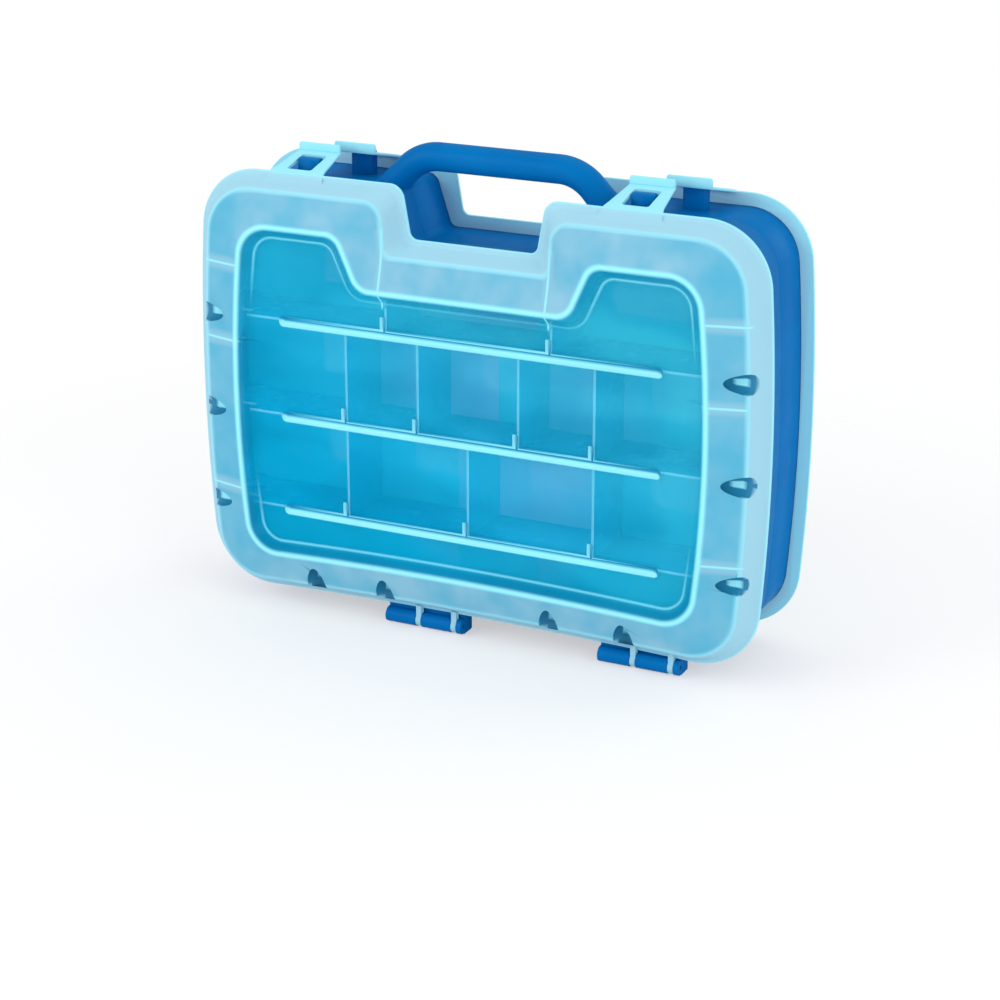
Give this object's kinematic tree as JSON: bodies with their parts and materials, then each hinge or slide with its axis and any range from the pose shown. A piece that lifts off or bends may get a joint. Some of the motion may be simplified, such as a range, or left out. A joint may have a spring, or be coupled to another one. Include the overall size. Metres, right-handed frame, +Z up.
{
  "type": "double-sided tackle satchel",
  "caption": "Double-sided plastic tackle satchel: a deep centre body with a top handle and divided trays on both faces, closed by two frosted snap-shut lids hinged at the foot.",
  "frame": {"origin": "on the floor, below the middle of the case", "axes": "+X to the right along the handle, +Y to the back so that the front lid is at -Y, +Z up"},
  "size_m": [0.434, 0.124, 0.344],
  "materials": {
    "body_blue": "moulded, satin gloss",
    "pin_blue": "smooth",
    "partition_milky": "milky sheet, smooth",
    "lid_frosted": "frosted translucent moulding",
    "divider_clear": "translucent moulding"
  },
  "bodies": {
    "case": {"centre_body": "body_blue", "centre_partition": "partition_milky", "carry_handle": "body_blue", "front_left_hinge_pin": "pin_blue", "front_right_hinge_pin": "pin_blue", "rear_left_hinge_pin": "pin_blue", "rear_right_hinge_pin": "pin_blue", "front_long_divider_1": "divider_clear", "front_long_divider_2": "divider_clear", "front_long_divider_3": "divider_clear", "rear_long_divider_1": "divider_clear", "rear_long_divider_2": "divider_clear", "rear_long_divider_3": "divider_clear", "front_short_divider_1": "divider_clear", "front_short_divider_2": "divider_clear", "front_short_divider_3": "divider_clear", "front_short_divider_4": "divider_clear", "front_short_divider_5": "divider_clear", "front_short_divider_6": "divider_clear", "front_short_divider_7": "divider_clear", "front_short_divider_8": "divider_clear", "front_short_divider_9": "divider_clear", "rear_short_divider_1": "divider_clear", "rear_short_divider_2": "divider_clear", "rear_short_divider_3": "divider_clear", "rear_short_divider_4": "divider_clear", "rear_short_divider_5": "divider_clear", "rear_short_divider_6": "divider_clear", "rear_short_divider_7": "divider_clear", "rear_short_divider_8": "divider_clear", "rear_short_divider_9": "divider_clear"},
    "front_lid": {"front_lid": "lid_frosted"},
    "rear_lid": {"rear_lid": "lid_frosted"}
  },
  "joints": [
    {"name": "front_lid_hinge", "type": "hinge", "parent": "case", "child": "front_lid", "pos_m": [0, -0.0405, 0.0062], "axis": [1, 0, 0], "range_deg": [0, 180]},
    {"name": "rear_lid_hinge", "type": "hinge", "parent": "case", "child": "rear_lid", "pos_m": [0, 0.0405, 0.0062], "axis": [-1, 0, 0], "range_deg": [0, 180]}
  ]
}
